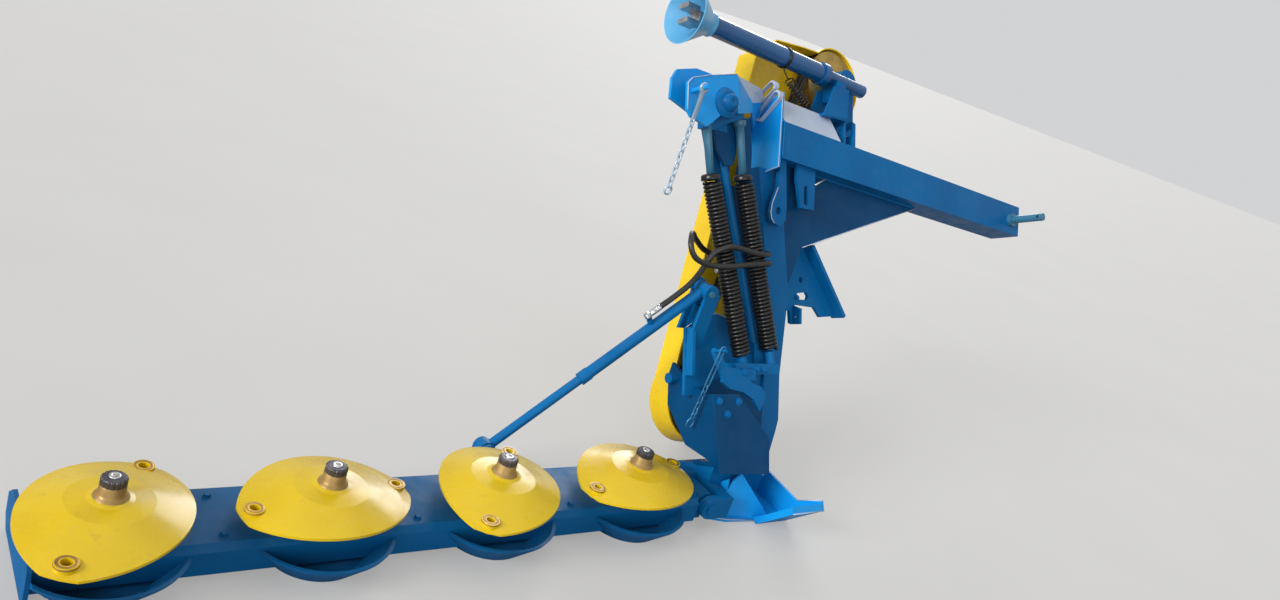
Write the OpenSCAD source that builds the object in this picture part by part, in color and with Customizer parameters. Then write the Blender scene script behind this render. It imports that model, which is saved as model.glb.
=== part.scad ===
// Disc mower, rear carried, parked on its cutter bar and stand. Millimetres.
// X runs along the cutter bar toward the hitch end, Y to the rear, Z up.

/* [Cutter bar] */
// distance between neighbouring rotor axes
rotor_pitch = 410; // [380:5:500]
// number of rotors on the bar
rotor_count = 4; // [2:1:7]
// height of the bar housing's underside
bar_bottom = 7; // [5:1:20]
// height of the bar housing's top
bar_top = 80; // [60:1:110]
// front edge of the bar housing, from the rotor axes
bar_front = -60; // [-90:1:-40]
// rear edge of the bar housing, from the rotor axes
bar_rear = 145; // [110:1:180]
// how far the bar runs past its outermost rotor axis
bar_past_outer = 120; // [90:1:200]
// thickness of the plate on the bar's outer end
end_plate_thick = 8; // [5:1:14]

/* [Skids] */
// radius of each skid's round front
skid_radius = 156; // [130:1:180]
// height of the skid's turned up edge
skid_rise = 62; // [40:1:75]
// thickness of the skid plate
skid_thick = 6; // [4:1:10]

/* [Rotors] */
// half length of a disc along its knives
disc_long = 184; // [150:1:200]
// half width of a disc across its knives
disc_wide = 143; // [120:1:170]
// half width of a disc's blunt end
disc_tip = 25; // [15:1:70]
// height of the disc's lowest edge
disc_edge = 123; // [100:1:150]
// height of the top of the disc under its boss
disc_crown = 160; // [140:1:180]
// height of the top of the spindle nut
hub_top = 210; // [180:1:220]
// wall of the pressed disc
disc_wall = 5; // [3:1:8]
// turn of each disc about its axis, outermost last
disc_turns = [15, 54, 9, 58]; // turns

/* [Bar hinge] */
// hinge axis along the bar
hinge_x = 235; // [220:1:260]
// hinge axis height
hinge_z = 60; // [50:1:75]
// radius of the hinge pin
hinge_pin_r = 15; // [10:1:20]

/* [Upright frame] */
// backward lean of the upright frame as parked, degrees
frame_lean = 28; // [0:1:35]
// foot of the upright frame along the bar
frame_x = 410; // [380:1:450]
// foot of the upright frame behind the rotor axes
frame_y = 40; // [0:1:80]
// foot of the upright frame above the floor
frame_z = 160; // [120:1:200]
// front face of the column in the frame
column_front = 40; // [20:1:60]
// depth of the column's box tube
column_deep = 58; // [40:1:90]

/* [Hitch beam] */
// height and depth of the beam's box tube
beam_size = 112; // [80:1:140]
// length of the beam
beam_long = 1330; // [1000:5:1600]
// fall of the beam toward its outer end, degrees
beam_fall = 4.5; // [0:0.5:8]
// height of the beam's top edge at the column
beam_top = 975; // [900:1:1050]
// radius of the hitch pin
hitch_pin_r = 14; // [11:0.5:18.5]
// length of the hitch pin past its collar
hitch_pin_long = 116; // [100:2:180]

/* [Springs] */
// outer radius of a balance spring
spring_r = 25.5; // [18:0.5:30]
// radius of the tension rods above the springs
rod_r = 7; // [5:1:12]

/* [Belt drive] */
// radius of the large pulley
top_pulley_r = 116; // [90:1:140]
// radius of the small pulley
low_pulley_r = 70; // [50:1:100]
// mouth radius of the drive shaft's cone
cone_r = 88; // [70:1:95]
// front edge of the belt guard in the frame
guard_front = 160; // [120:1:200]
// depth of the belt guard
guard_deep = 80; // [60:1:110]
// wall of the belt guard
guard_wall = 4; // [2:1:6]

/* [Lift cylinder] */
// radius of the cylinder's barrel
barrel_r = 16; // [14:1:32]
// radius of the cylinder's rod
ram_r = 12.5; // [8:0.5:16]
// radius of the pins at both ends of the cylinder
lift_pin_r = 8.95; // [6:0.05:12]
// play of the rod's eye round its pin, for the bar's arc
eye_play = 7.5; // [5:0.5:10]

/* [Stand] */
// stand leg's place along the bar
stand_x = 585; // [520:1:640]
// stand leg's place behind the rotor axes
stand_y = 405; // [360:1:450]

/* [Hidden] */
$fn = 48;
shift_x = -245.9;
shift_y = -344.9;
bar_out = -(rotor_count - 1) * rotor_pitch - bar_past_outer;
lift_low = [-302, 250, 68];
lift_top = [243, 250, 562];
lift_long = norm(lift_top - lift_low);
lift_turn = atan2(lift_low[0] - lift_top[0], lift_low[2] - lift_top[2]);
belt_low = [-22, 140];
belt_top = [572, 1203];
// outline of the guard's pan between its two round ends, x and z in the frame
guard_edge = [[-148, 150], [55, 792], [196, 1241], [289, 1298], [420, 1302], [560, 1300], [690, 1180],
              [665, 1110], [100, 120]];
column_edge = [[84, 880], [135, 460], [122, 150], [110, -20], [148, -20], [178, 52], [190, 87],
               [192, 219], [207, 328], [226, 463], [205, 640], [186, 880]];
spring_y = -15;
spring_tops = [[-158, 758], [-30, 773]];
spring_lows = [[-28, 273], [85, 289]];
shaft_slope = -0.0907;
port_turn = 90;
fitting_out = 44;
fitting_start = 140;
fitting_r = 8.5;

module whole() translate([shift_x, shift_y, 0]) children();
module lean() whole() translate([frame_x, frame_y, frame_z]) rotate([-frame_lean, 0, 0]) children();
// a plate drawn in the frame's own upright plane, from front to front + thick
module upright_plate(front, thick) translate([0, front + thick, 0]) rotate([90, 0, 0]) linear_extrude(thick) children();
// a plate drawn in the plane across X
module side_plate(left, thick) translate([left, 0, 0]) rotate([90, 0, 90]) linear_extrude(thick) children();
// a round bar from a to b
module rod(a, b, r) {
    d = b - a;
    translate(a) rotate([0, acos(d[2] / norm(d)), atan2(d[1], d[0])]) cylinder(r = r, h = norm(d));
}
module along_y(r, h) rotate([-90, 0, 0]) cylinder(r = r, h = h);

// cutter bar
module cutter_bar() color("royalblue") whole() {
    side_plate(bar_out, hinge_x - 34 - bar_out)
        polygon([[bar_front, bar_bottom + 10], [bar_front + 12, bar_bottom], [bar_rear - 12, bar_bottom],
                 [bar_rear, bar_bottom + 10], [bar_rear, bar_top - 14], [bar_rear - 14, bar_top],
                 [bar_front + 14, bar_top], [bar_front, bar_top - 12]]);
    for (k = [0 : rotor_count - 1]) translate([-k * rotor_pitch, 0, 0]) {
        translate([0, 0, bar_top]) cylinder(r = 50, h = 34);
        translate([0, 0, bar_top]) cylinder(r = 34, h = 50);
        translate([0, 0, bar_top]) cylinder(r = 19.94, h = disc_crown + 6 - bar_top);
    }
    difference() {
        union() {
            translate([hinge_x, -46, hinge_z]) along_y(32, 92);
            translate([hinge_x - 60, -46, bar_bottom + 8]) cube([60, 92, bar_top - bar_bottom - 8]);
        }
        translate([hinge_x, -60, hinge_z]) along_y(hinge_pin_r + 0.08, 120);
    }
    difference() {
        union() {
            translate([lift_low[0] - 50, bar_rear - 5, 22]) cube([100, 134, 9]);
            for (s = [-24, 14]) translate([lift_low[0], lift_low[1] + s, 0]) lift_ear();
        }
        translate([lift_low[0], lift_low[1] - 40, lift_low[2]]) along_y(9, 80);
    }
}
module lift_ear() {
    translate([0, 0, lift_low[2]]) along_y(22, 10);
    translate([-22, 0, 30]) cube([44, 10, lift_low[2] - 30]);
}
module bar_end_plate() color("royalblue") whole()
    side_plate(bar_out - end_plate_thick, end_plate_thick)
        polygon([[-78, 14], [-60, 2], [150, 2], [172, 24], [172, 70], [140, 96], [-60, 96], [-78, 78]]);
module skids() color("royalblue") whole() difference() {
    for (k = [0 : rotor_count - 1]) translate([-k * rotor_pitch, 0, 0]) {
        rotate([0, 0, 180]) rotate_extrude(angle = 180)
            polygon([[0, 0], [102, 0], [skid_radius - 4, skid_rise - 8], [skid_radius, skid_rise],
                     [skid_radius - 8, skid_rise], [96, bar_bottom], [0, bar_bottom]]);
        translate([-102, 0, 0]) cube([204, 128, bar_bottom]);
    }
    translate([bar_out, bar_front, bar_bottom]) cube([-bar_out + 400, 300, 100]);
    translate([bar_out - 100, -200, -10]) cube([100, 400, 200]);
}

// rotors
module disc_outline() intersection() {
    e = disc_tip;
    w = disc_wide;
    big = (disc_long * disc_long + e * e - w * w) / (2 * (w - e)) + w;
    circle(r = disc_long, $fn = 72);
    translate([0, w - big]) circle(r = big, $fn = 120);
    translate([0, big - w]) circle(r = big, $fn = 120);
}
module rotor(k) color("gold") whole() translate([-k * rotor_pitch, 0, 0]) rotate([0, 0, disc_turns[k]]) {
    difference() {
        intersection() {
            rotate_extrude($fn = 72) polygon([[0, disc_crown - disc_wall], [70, disc_crown - disc_wall - 2],
                [112, disc_crown - 13 - disc_wall], [150, disc_edge + 13 - disc_wall],
                [disc_long + 2, disc_edge - disc_wall], [disc_long + 2, disc_edge], [150, disc_edge + 14],
                [112, disc_crown - 11], [76, disc_crown + 1], [40, disc_crown + 6], [28, disc_crown + 10],
                [22, disc_crown + 16], [21, hub_top - 8], [18, hub_top], [0, hub_top]]);
            translate([0, 0, 90]) linear_extrude(130) disc_outline();
        }
        translate([0, 0, 90]) cylinder(r = 20, h = disc_crown - 78);
        for (s = [-1, 1]) translate([s * (disc_long - 24), 0, 90]) cylinder(r = 10, h = 60);
    }
    for (s = [-1, 1]) translate([s * (disc_long - 24), 0, disc_edge - 8]) difference() {
        cylinder(r = 20, h = 24);
        translate([0, 0, -1]) cylinder(r = 10, h = 26);
    }
}
module rotor_1() rotor(0);
module rotor_2() rotor(1);
module rotor_3() rotor(2);
module rotor_4() rotor(3);

// inner end: gear case, hinge and shoe
module hinge_pin() color("silver") whole() translate([hinge_x, -82, hinge_z]) along_y(hinge_pin_r, 164);
module gear_case() color("royalblue") whole() difference() {
    union() {
        for (s = [-76, 52]) translate([hinge_x, s, hinge_z]) along_y(30, 24);
        for (s = [-76, 52]) translate([hinge_x, s, hinge_z - 30]) cube([60, 24, 60]);
        translate([hinge_x + 42, -76, 30]) cube([30, 226, 60]);
        translate([hinge_x + 42, 5, 8]) cube([213, 145, 170]);
        translate([490, 60, 8]) cube([62, 90, 170]);
    }
    translate([hinge_x, -90, hinge_z]) along_y(hinge_pin_r, 180);
    above_case();
}
module above_case() translate([frame_x, frame_y, frame_z]) rotate([-frame_lean, 0, 0])
    translate([-300, -300, -30]) cube([700, 700, 300]);
module inner_shoe() color("dodgerblue") whole() {
    linear_extrude(8) polygon([[280, -40], [330, -60], [560, -84], [560, 150], [280, 150]]);
    side_plate(552, 8) polygon([[60, 4], [60, 48], [40, 88], [-92, 76], [-170, 128], [-186, 104], [-78, 4]]);
    side_plate(430, 122) polygon([[-84, 0], [-60, 8], [-92, 34], [-176, 122], [-186, 104]]);
    side_plate(330, 6) polygon([[-30, 4], [5, 4], [5, 90], [-14, 110], [-36, 20]]);
    translate([336, -34, 4]) rotate([-14, 0, -14]) rotate([90, 0, 0])
        linear_extrude(6) polygon([[0, 0], [162, 0], [34, 124], [28, 124], [8, 100], [-10, 58]]);
}

// lower frame, standing on the gear case
module lower_frame() color("mediumblue") lean() difference() {
    union() {
        upright_plate(-60, 10) polygon([[-176, 167], [-80, 167], [44, 39], [46, -59], [-151, -49]]);
        side_plate(-150, 10)
            polygon([[-55, -30], [-55, 150], [-20, 165], [60, 185], [140, 250], [158, 215], [158, 130], [80, 20]]);
        upright_plate(40, 10) polygon([[-145, 178], [-60, 205], [60, 205], [150, 150], [150, -25], [-145, 10]]);
        translate([0, 0, -30]) linear_extrude(10) polygon([[-145, -55], [46, -55], [150, 50], [-145, 50]]);
    }
    for (p = [[-156, 148], [-125, 112]]) translate([p[0], -70, p[1]]) along_y(6, 20);
    column_block();
    u_shape();
}
module pivot_pin() color("silver") lean() translate([-175, 130, 205]) rotate([0, 90, 0]) cylinder(r = 15, h = 25);
module u_bracket() color("royalblue") lean() u_shape();
module u_shape() {
    side_plate(-184, 10) polygon([[20, 215], [20, 345], [45, 350], [50, 215]]);
    u_outline();
}
module u_outline() upright_plate(50, 10)
    polygon([[-184, 160], [-184, 348], [-112, 391], [-60, 392], [128, 330], [120, 160]]);

// column and head
module column_block() upright_plate(column_front, column_deep) polygon(column_edge);
module beam_block() on_beam() {
    translate([-10, -40, -140]) cube([10, 200, 300]);
    translate([0, -40, -beam_size]) cube([900, 200, beam_size + 100]);
}
module column() color("royalblue") lean() difference() {
    column_block();
    beam_block();
    on_beam() translate([-210, -40, -140]) cube([200, 200, 300]);
    upright_plate(column_front + 6, column_deep - 12) offset(delta = -6) polygon(column_edge);
}
module lift_bracket() color("royalblue") difference() {
    whole() difference() {
        union() {
            for (s = [-34, 24]) translate([lift_top[0], lift_top[1] + s, lift_top[2]]) {
                along_y(24, 10);
                translate([-16, 0, -170]) cube([50, 10, 170]);
            }
            translate([lift_top[0] + 4, lift_top[1] - 34, 440]) cube([30, 68, 70]);
        }
        translate([lift_top[0], lift_top[1] - 40, lift_top[2]]) along_y(9, 80);
    }
    lean() u_shape();
    lean() upright_plate(60, 200) polygon([[-300, 0], [0, 0], [0, 348], [-300, 348]]);
}
module column_head() color("royalblue") lean() difference() {
    union() {
        upright_plate(-60, 10) polygon([[-295, 925], [-295, 998], [-278, 1015], [-208, 1036], [-110, 1058],
                                        [-100, 985], [-222, 891], [-282, 908]]);
        upright_plate(30, 10) polygon([[-278, 976], [-272, 1034], [-254, 1061], [-182, 1078], [-20, 1066],
                                       [-20, 968], [-210, 950]]);
        translate([-110, -60, 0]) rotate([0, 0, 40.8]) upright_plate(0, 10)
            polygon([[0, 985], [0, 1058], [300, 1028], [320, 1026], [320, 930], [300, 930]]);
        translate([-215, -55, 1028]) rotate([0, -6, 0]) cube([100, 90, 8]);
        translate([-278, -122, 978]) along_y(7, 64);
    }
    translate([-150, -70, 968]) along_y(20, 120);
    on_beam() translate([-10, -40, -300]) cube([200, 300, 600]);
}
module head_pin() color("steelblue") lean() {
    translate([-150, -84, 968]) along_y(20, 134);
    translate([-150, -70, 968]) along_y(27, 10);
}
module spring_yoke() color("steelblue") lean() difference() {
    union() {
        translate([-150, -38, 968]) along_y(34, 56);
        upright_plate(spring_y - 12, 24) polygon([[-205, 896], [-205, 935], [-150, 975], [-70, 968], [-45, 950],
                                                  [-120, 920], [-165, 896]]);
        upright_plate(spring_y + 12, 30) polygon([[-150, 905], [-150, 960], [-95, 960], [-88, 905]]);
    }
    translate([-150, -70, 968]) along_y(20, 120);
    for (k = [0, 1]) tension_rod(k);
    strut_body();
}
module tension_rod(k) rod([spring_tops[k][0] - 25, spring_y, spring_tops[k][1] + 168],
                          [spring_tops[k][0] - 2, spring_y, spring_tops[k][1] - 12], rod_r);
module tension_rods() color("lightsteelblue") lean() for (k = [0, 1]) tension_rod(k);
module spring(k) difference() {
    a = [spring_tops[k][0], spring_y, spring_tops[k][1]];
    b = [spring_lows[k][0], spring_y, spring_lows[k][1]];
    rod(a, b, spring_r);
    rod(a + (b - a) * 0.03, b + (a - b) * 0.03, spring_r - 9);
    tension_rod(k);
}
module spring_left() color("dimgray") lean() spring(0);
module spring_right() color("dimgray") lean() spring(1);
module strut_body() rod([-110, 24, 936], [64, 24, 306], 13);
module spring_strut() color("royalblue") lean() strut_body();
module spring_foot() color("royalblue") lean() difference() {
    union() {
        upright_plate(-46, 12) polygon([[-131, 200], [-109, 240], [-66, 236], [-12, 196], [24, 187], [44, 157],
                                        [18, 118], [-6, 150], [-50, 172], [-100, 180]]);
        translate([-70, spring_y - 20, 222]) cube([180, 40, 30]);
        translate([-60, -46, 205]) cube([60, 50, 30]);
        for (k = [0, 1]) rod([spring_lows[k][0], spring_y, spring_lows[k][1] + 0],
                             [spring_lows[k][0] + 9, spring_y, spring_lows[k][1] - 44], 14);
        translate([40, spring_y, 222]) cube([70, column_front - spring_y, 30]);
        upright_plate(-46, 12) polygon([[-128, 208], [-166, 282], [-160, 292], [-152, 288], [-108, 236]]);
        translate([-160, -88, 284]) along_y(5, 44);
        translate([44, 4, 240]) cube([60, 36, 70]);
    }
    strut_body();
    for (k = [0, 1]) spring(k);
    upright_plate(column_front, 300) polygon([[-300, 0], [400, 0], [400, 500], [-300, 500]]);
}

// hitch beam
module on_beam() translate([138, 0, beam_top]) rotate([0, beam_fall, 0]) children();
module beam_end_plate() color("dodgerblue") lean() on_beam()
    side_plate(-10, 10) polygon([[-18, -136], [136, -140], [136, 55], [-18, 90]]);
module hitch_beam() color("royalblue") lean() on_beam() difference() {
    translate([0, -14, -beam_size]) cube([beam_long, beam_size, beam_size]);
    translate([8, -6, -beam_size + 8]) cube([beam_long, beam_size - 16, beam_size - 16]);
}
module gusset() color("mediumblue") lean() difference() {
    upright_plate(column_front, 12) polygon([[150, 880], [150, 480], [226, 500], [287, 615], [874, 805], [874, 880]]);
    beam_block();
    column_block();
}
module hitch_pin() color("steelblue") lean() on_beam() {
    translate([beam_long - 60, -14, -60]) rotate([90, 0, 0]) cylinder(r = 24, h = 16);
    difference() {
        translate([beam_long - 60, -14, -60]) rotate([90, 0, 0]) cylinder(r = hitch_pin_r, h = hitch_pin_long + 16);
        translate([beam_long - 90, -14 - hitch_pin_long, -60]) rotate([0, 90, 0]) cylinder(r = 5.5, h = 60);
    }
}
module top_bracket() color("royalblue") lean() on_beam() difference() {
    for (s = [322, 372]) side_plate(s, 10)
        polygon([[22, 0], [28, 94], [36, 102], [66, 102], [74, 94], [80, 0]]);
    translate([300, 51, 66]) rotate([0, 90, 0]) cylinder(r = 12.75, h = 150);
}
module lug_slot() color("royalblue") lean() difference() {
    upright_plate(6, 12) polygon([[221, 880], [221, 810], [240, 728], [300, 728], [306, 880]]);
    for (z = [748, 790]) translate([262, -40, z]) along_y(9, 80);
    translate([253, -40, 748]) cube([18, 80, 42]);
    beam_block();
}
module lug_hole() color("royalblue") lean() difference() {
    upright_plate(6, 12) polygon([[104, 880], [101, 712], [123, 679], [158, 677], [170, 712], [166, 880]]);
    translate([140, -40, 708]) along_y(11, 80);
    beam_block();
    on_beam() translate([-100, -100, -140]) cube([100, 300, 400]);
}
module rear_bracket() color("lightsteelblue") lean() difference() {
    union() {
        upright_plate(86, 12) polygon([[170, 640], [352, 629], [511, 413], [431, 406], [402, 436], [308, 440],
                                       [308, 380], [290, 380], [286, 420], [170, 420]]);
        translate([352, 86, 629]) rotate([0, 53.7, 0]) translate([0, -40, -12]) cube([268, 52, 12]);
        side_plate(298, 10) polygon([[56, 378], [56, 426], [98, 440], [98, 378]]);
    }
    upright_plate(80, 24) polygon([[315, 457], [319, 476], [362, 482], [372, 470], [366, 457]]);
    translate([335, 80, 519]) along_y(9, 30);
    translate([290, 77, 400]) rotate([0, 90, 0]) cylinder(r = 5, h = 30);
    column_block();
}

// drive shaft resting on the beam
function on_shaft(x) = [x, 50, 1226 + (x + 130) * shaft_slope];
module shaft_part(a, b, r) rod(on_shaft(a), on_shaft(b), r);
module shaft_rest() color("royalblue") lean() difference() {
    union() {
        for (s = [14, 82]) upright_plate(s, 6)
            polygon([[350, 1036], [404, 1138], [482, 1138], [476, 1060], [470, 1044]]);
        translate([356, 16, 1036]) cube([120, 70, 10]);
        translate([424, 16, 1100]) cube([36, 70, 60]);
    }
    shaft_part(190, 590, 22);
    on_beam() translate([322, 0, -20]) cube([100, 100, 300]);
}
module rest_spring() color("gray") lean() {
    rod([220, 50, 1134], [303, 50, 1066], 12);
    rod([203, 50, 1162], [224, 50, 1131], 3);
    rod([299, 50, 1069], [352, 50, 1049.5], 3);
    difference() {
        shaft_part(198, 208, 33.5);
        shaft_part(190, 215, 30);
    }
}
module drive_shaft_tube() color("royalblue") lean() difference() {
    shaft_part(-130, 377, 30);
    shaft_part(-140, 385, 26);
}
module drive_shaft_inner() color("royalblue") lean() shaft_part(200, 582, 22);
module shaft_collar() color("royalblue") lean() difference() {
    shaft_part(366, 392, 36);
    shaft_part(360, 377, 30);
    shaft_part(360, 400, 22);
}
module at_shaft_end() translate(on_shaft(-130)) rotate([0, -atan(shaft_slope) - 90, 0]) children();
module shaft_cone() color("dodgerblue") lean() at_shaft_end() difference() {
    union() {
        translate([0, 0, -16]) cylinder(r = 36, h = 16);
        cylinder(r1 = 36, r2 = cone_r, h = 84);
    }
    translate([0, 0, -20]) cylinder(r = 30, h = 24);
    cylinder(r1 = 31, r2 = cone_r - 3.5, h = 85);
}
module shaft_yoke() color("silver") lean() at_shaft_end() {
    translate([0, 0, -30]) cylinder(r = 26, h = 40);
    cylinder(r = 24, h = 46);
    for (s = [-1, 1]) translate([s * 22 - 7, -20, 44]) cube([14, 40, 46]);
}
module handles() color("lightsteelblue") lean() difference() {
    union() {
        for (s = [0, 34]) translate([s, 0, 0]) upright_plate(-4, 8)
            polygon([[8, 1010], [64, 1080], [78, 1074], [30, 1000]]);
        translate([20, -6, 990]) rotate([0, 10, 0]) cube([48, 12, 20]);
        translate([40, -4, 1010]) cube([90, 8, 14]);
    }
    on_beam() translate([-10, -40, -300]) cube([200, 300, 600]);
}

// belt drive
module guard_outline() {
    translate(belt_low) circle(r = 127);
    translate(belt_top) circle(r = 126);
    polygon(guard_edge);
}
module belt_guard() color("yellow") lean() {
    upright_plate(guard_front + guard_deep - guard_wall, guard_wall) guard_outline();
    difference() {
        upright_plate(guard_front, guard_deep) guard_outline();
        upright_plate(guard_front - 1, guard_deep + 2) offset(delta = -guard_wall) guard_outline();
    }
}
module pulley(r, grooves) rotate([-90, 0, 0]) rotate_extrude() polygon(concat([[0, 0], [r, 0]],
    [for (g = [0 : grooves - 1]) each [[r, 4 + g * 16], [r - 10, 4 + g * 16], [r - 10, 15 + g * 16], [r, 15 + g * 16]]],
    [[r, grooves * 16 + 3], [0, grooves * 16 + 3]]));
module top_pulley() color("goldenrod") lean() translate([belt_top[0], guard_front + 8, belt_top[1]]) pulley(top_pulley_r, 3);
module low_pulley() color("goldenrod") lean() translate([belt_low[0], guard_front + 8, belt_low[1]]) pulley(low_pulley_r, 3);
module belts() color("black") lean() for (g = [0 : 2]) upright_plate(guard_front + 13 + g * 16, 9) difference() {
    belt_loop(1);
    belt_loop(-9.87);
}
module belt_loop(d) hull() {
    translate(belt_low) circle(r = low_pulley_r + d, $fn = 96);
    translate(belt_top) circle(r = top_pulley_r + d, $fn = 96);
}
module pulley_bearing() color("royalblue") lean() difference() {
    union() {
        translate([belt_top[0], 98, belt_top[1]]) along_y(40, 56);
        upright_plate(98, 12) polygon([[470, 820], [belt_top[0] - 72, belt_top[1] - 53], [belt_top[0] - 42, belt_top[1] - 3],
                                      [belt_top[0] + 28, belt_top[1] - 3], [belt_top[0] + 28, 820]]);
        translate([belt_top[0] - 82, 104, belt_top[1] - 218]) along_y(14, guard_front + guard_deep - guard_wall - 104);
        translate([belt_top[0], 150, belt_top[1]]) along_y(20, 18);
    }
}
module low_bearing() color("royalblue") lean() {
    translate([belt_low[0], 60, belt_low[1] + 10]) along_y(38, 94);
    translate([belt_low[0], 150, belt_low[1]]) along_y(20, 18);
    translate([90, 60, 350]) along_y(14, guard_front + guard_deep - guard_wall - 60);
}

// lift cylinder
// drawn pointing up from the top pin, then turned to the bar's pin
module in_cylinder() whole() translate(lift_top) rotate([0, lift_turn, 0]) children();
module lift_barrel() color("royalblue") in_cylinder() difference() {
    union() {
        translate([0, -23, 0]) along_y(20, 46);
        translate([0, 0, 14]) cylinder(r = barrel_r, h = 406);
        translate([0, 0, 400]) cylinder(r = barrel_r + 2, h = 30);
        translate([0, 0, fitting_start + 44]) rotate([0, port_turn, 0]) cylinder(r = 8, h = fitting_out - fitting_r - 0.3);
    }
    translate([0, -30, 0]) along_y(9, 60);
    translate([0, 0, 50]) cylinder(r = ram_r + 0.05, h = 400);
}
module lift_rod() color("silver") in_cylinder() difference() {
    union() {
        translate([0, 0, 335]) cylinder(r = ram_r, h = lift_long - 335 - 12);
        translate([0, -12, lift_long]) along_y(lift_pin_r + eye_play + 8, 24);
    }
    translate([0, -20, lift_long]) along_y(lift_pin_r + eye_play, 40);
}
module lift_pins() color("silver") whole() translate([lift_top[0], lift_top[1] - 40, lift_top[2]]) along_y(lift_pin_r, 80);
module rod_pin() color("silver") whole() translate([lift_low[0], lift_low[1] - 30, lift_low[2]]) along_y(lift_pin_r, 60);

// chains, hanging straight down
function link_turn(i) = i * 30 + 15;
function link_at(i, long, wide) = let (a = link_turn(i))
    [wide * cos(a), 0, wide * sin(a) + (sin(a) > 0 ? 1 : -1) * (long - wide)];
// a link of round wire, half its length and width measured to the wire's middle
module chain_link(long, wide, r) polyhedron(
    points = [for (i = [0 : 11]) for (j = [0 : 5]) let (a = link_turn(i))
        link_at(i, long, wide) + r * cos(j * 60) * [cos(a), 0, sin(a)] + r * sin(j * 60) * [0, 1, 0]],
    faces = [for (i = [0 : 11]) for (j = [0 : 5]) let (m = (i + 1) % 12, n = (j + 1) % 6)
        each [[i * 6 + j, m * 6 + j, m * 6 + n], [i * 6 + j, m * 6 + n, i * 6 + n]]]);
module chain(count) for (k = [0 : count - 1]) translate([0, 0, -11 - k * 17.6]) rotate([0, 0, k % 2 * 90])
    chain_link(11, 6, 2);
module chain_top() color("silver") whole() translate([132, 406, 1072]) {
    difference() {
        union() {
            translate([-7, -2.5, -96]) cube([14, 5, 96]);
            translate([0, -2.5, 0]) along_y(15, 5);
        }
        translate([0, -10, 0]) along_y(11, 20);
        translate([0, -10, -88.5]) along_y(4.5, 20);
    }
    translate([0, 0, -86.3]) rotate([0, 0, 90]) chain(11);
    translate([0, 0, -291]) chain_link(12, 11, 3);
}
module chain_low() color("silver") whole() translate([250, 109, 449]) rotate([0, 4, 0]) {
    translate([0, 0, -54]) chain_link(62, 7.5, 2.2);
    translate([0, 0, -111]) rotate([0, 0, 90]) chain(6);
    translate([0, 0, -230]) chain_link(14, 12, 2.5);
}

// hose from the cylinder, round both springs
hose_r = 8;
hose_route = [[-300, 25, 400], [-262, 9, 430], [-225, -5, 462], [-195, -12, 495], [-175, -18, 525],
              [-155, -32, 555], [-120, -50, 572], [-80, -52, 571], [-20, -52, 564], [20, -52, 562], [50, -42, 567],
              [64, -15, 572], [52, 20, 570], [25, 46, 565], [-20, 50, 560], [-80, 44, 558], [-135, 36, 570],
              [-185, 15, 592], [-225, -15, 602], [-252, -40, 590], [-265, -52, 565], [-258, -54, 540], [-235, -53, 524],
              [-187, -52, 515], [-120, -52, 518], [-60, -51, 526], [0, -50, 534], [47, -46, 541], [69, -13, 540],
              [52, 22, 534], [25, 46, 528], [-20, 50, 522]];
function unit(v) = v / norm(v);
function along(p, i) = unit(p[min(i + 1, len(p) - 1)] - p[max(i - 1, 0)]);
function side(p, i) = let (t = along(p, i), u = i == 0 ? [0, 0, 1] : side(p, i - 1)) unit(u - (u * t) * t);
function ring(p, i, r) = let (t = along(p, i), u = side(p, i), v = cross(t, u))
    [for (j = [0 : 7]) p[i] + r * cos(j * 45) * u + r * sin(j * 45) * v];
module tube(p, r) let (last = len(p) - 1) polyhedron(
    points = [for (i = [0 : last]) each ring(p, i, r)],
    faces = concat([[7, 6, 5, 4, 3, 2, 1, 0]], [[for (j = [0 : 7]) last * 8 + j]],
        [for (i = [0 : last - 1]) for (j = [0 : 7]) let (n = (j + 1) % 8)
            each [[i * 8 + j, i * 8 + n, i * 8 + 8 + n], [i * 8 + j, i * 8 + 8 + n, i * 8 + 8 + j]]]));
module hose() color("black") lean() tube(hose_route, hose_r);
module hose_fitting() color("silver") in_cylinder() translate([fitting_out, 0, fitting_start]) {
    cylinder(r = fitting_r, h = 52);
    translate([0, 0, 8]) cylinder(r = fitting_r + 2.5, h = 12, $fn = 6);
}

// stand
module stand_socket() color("royalblue") whole() difference() {
    union() {
        translate([stand_x - 32, stand_y - 32, 92]) cube([64, 64, 90]);
        side_plate(530, 40) polygon([[150, 16], [150, 58], [330, 132], [stand_y - 32, 132], [stand_y - 32, 96], [338, 96]]);
    }
    translate([stand_x - 26, stand_y - 26, 80]) cube([52, 52, 120]);
}
module stand_leg() color("silver") whole() {
    translate([stand_x - 25.5, stand_y - 25.5, 4]) cube([51, 51, 196]);
    translate([stand_x - 60, stand_y - 60, 0]) cube([120, 120, 8]);
}

cutter_bar();
bar_end_plate();
skids();
rotor_1();
rotor_2();
rotor_3();
rotor_4();
hinge_pin();
gear_case();
inner_shoe();
lower_frame();
pivot_pin();
u_bracket();
column();
lift_bracket();
column_head();
head_pin();
spring_yoke();
tension_rods();
spring_left();
spring_right();
spring_strut();
spring_foot();
beam_end_plate();
hitch_beam();
gusset();
hitch_pin();
top_bracket();
lug_slot();
lug_hole();
rear_bracket();
shaft_rest();
rest_spring();
drive_shaft_tube();
drive_shaft_inner();
shaft_collar();
shaft_cone();
shaft_yoke();
handles();
belt_guard();
top_pulley();
low_pulley();
belts();
pulley_bearing();
low_bearing();
lift_barrel();
lift_rod();
lift_pins();
rod_pin();
hose_fitting();
hose();
chain_top();
chain_low();
stand_socket();
stand_leg();
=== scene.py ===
"""Looks of the disc mower: paint, coils, hose, chains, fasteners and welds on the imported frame."""
import math

import bmesh
import bpy
import numpy as np
from mathutils import Matrix


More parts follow.
